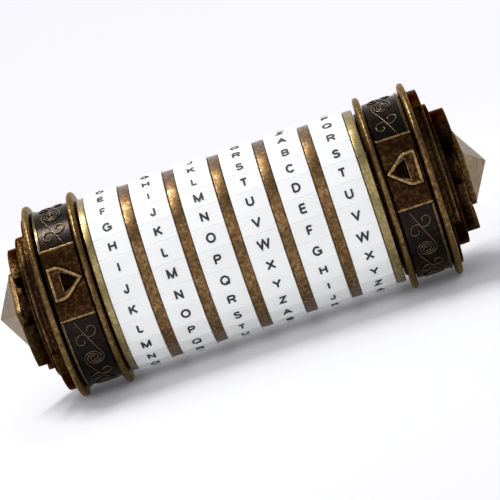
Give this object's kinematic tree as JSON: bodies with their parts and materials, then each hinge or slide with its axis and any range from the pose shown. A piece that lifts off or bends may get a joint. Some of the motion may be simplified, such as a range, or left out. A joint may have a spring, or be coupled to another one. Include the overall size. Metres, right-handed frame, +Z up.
{
  "type": "cryptex",
  "caption": "Cylinder word lock with turning letter rings on a slotted barrel, and a pull-out capped tube with a comb of teeth.",
  "frame": {"origin": "on the surface the lock lies on, below the middle of its length and its axis", "axes": "+X along the barrel towards the cap that pulls out, +Z up, and -Y faces the reader of the letters"},
  "size_m": [0.128, 0.05, 0.05],
  "materials": {
    "antique_bronze": "cast, brown patina rubbed bright on the edges",
    "dark_bronze": "cast, dark brown patina",
    "gunmetal": "blackened relief with bright high spots",
    "brushed_brass": "turned, antique brass",
    "divider_bronze": "turned, mottled reddish bronze",
    "finial_brass": "satin, pale tan brass",
    "machined_brass": "machined",
    "steel": "plain",
    "white_enamel": "gloss white, black printed letters"
  },
  "bodies": {
    "root": {"outer_barrel": "machined_brass", "thrust_ring": "brushed_brass", "lock_ring": "brushed_brass", "divider_ring_1": "divider_bronze", "divider_ring_2": "divider_bronze", "divider_ring_3": "divider_bronze", "divider_ring_4": "divider_bronze", "divider_ring_5": "divider_bronze", "fixed_collar": "antique_bronze", "fixed_scroll_band": "gunmetal", "fixed_shield_plate": "antique_bronze", "fixed_end_casting": "dark_bronze", "fixed_hub_plate": "dark_bronze", "fixed_finial": "finial_brass", "fixed_finial_screw": "steel", "fixed_flange_screw_1": "steel", "fixed_flange_screw_2": "steel", "fixed_flange_screw_3": "steel"},
    "ring_1": {"letter_ring_1": "white_enamel", "code_ring_1": "machined_brass"},
    "ring_2": {"letter_ring_2": "white_enamel", "code_ring_2": "machined_brass"},
    "ring_3": {"letter_ring_3": "white_enamel", "code_ring_3": "machined_brass"},
    "ring_4": {"letter_ring_4": "white_enamel", "code_ring_4": "machined_brass"},
    "ring_5": {"letter_ring_5": "white_enamel", "code_ring_5": "machined_brass"},
    "ring_6": {"letter_ring_6": "white_enamel", "code_ring_6": "machined_brass"},
    "drawer": {"inner_tube": "machined_brass", "tooth_comb": "steel", "comb_screw_1": "steel", "comb_screw_2": "steel", "drawer_collar": "antique_bronze", "drawer_scroll_band": "gunmetal", "drawer_shield_plate": "antique_bronze", "drawer_end_casting": "dark_bronze", "drawer_hub_plate": "dark_bronze", "drawer_finial": "finial_brass", "drawer_finial_screw": "steel", "drawer_flange_screw_1": "steel", "drawer_flange_screw_2": "steel", "drawer_flange_screw_3": "steel"}
  },
  "joints": [
    {"name": "ring_1_turn", "type": "hinge", "parent": "root", "child": "ring_1", "pos_m": [0, 0, 0.025], "axis": [1, 0, 0], "continuous": true},
    {"name": "ring_2_turn", "type": "hinge", "parent": "root", "child": "ring_2", "pos_m": [0, 0, 0.025], "axis": [1, 0, 0], "continuous": true},
    {"name": "ring_3_turn", "type": "hinge", "parent": "root", "child": "ring_3", "pos_m": [0, 0, 0.025], "axis": [1, 0, 0], "continuous": true},
    {"name": "ring_4_turn", "type": "hinge", "parent": "root", "child": "ring_4", "pos_m": [0, 0, 0.025], "axis": [1, 0, 0], "continuous": true},
    {"name": "ring_5_turn", "type": "hinge", "parent": "root", "child": "ring_5", "pos_m": [0, 0, 0.025], "axis": [1, 0, 0], "continuous": true},
    {"name": "ring_6_turn", "type": "hinge", "parent": "root", "child": "ring_6", "pos_m": [0, 0, 0.025], "axis": [1, 0, 0], "continuous": true},
    {"name": "drawer_slide", "type": "slide", "parent": "root", "child": "drawer", "axis": [1, 0, 0], "range_m": [0, 0.078]}
  ]
}
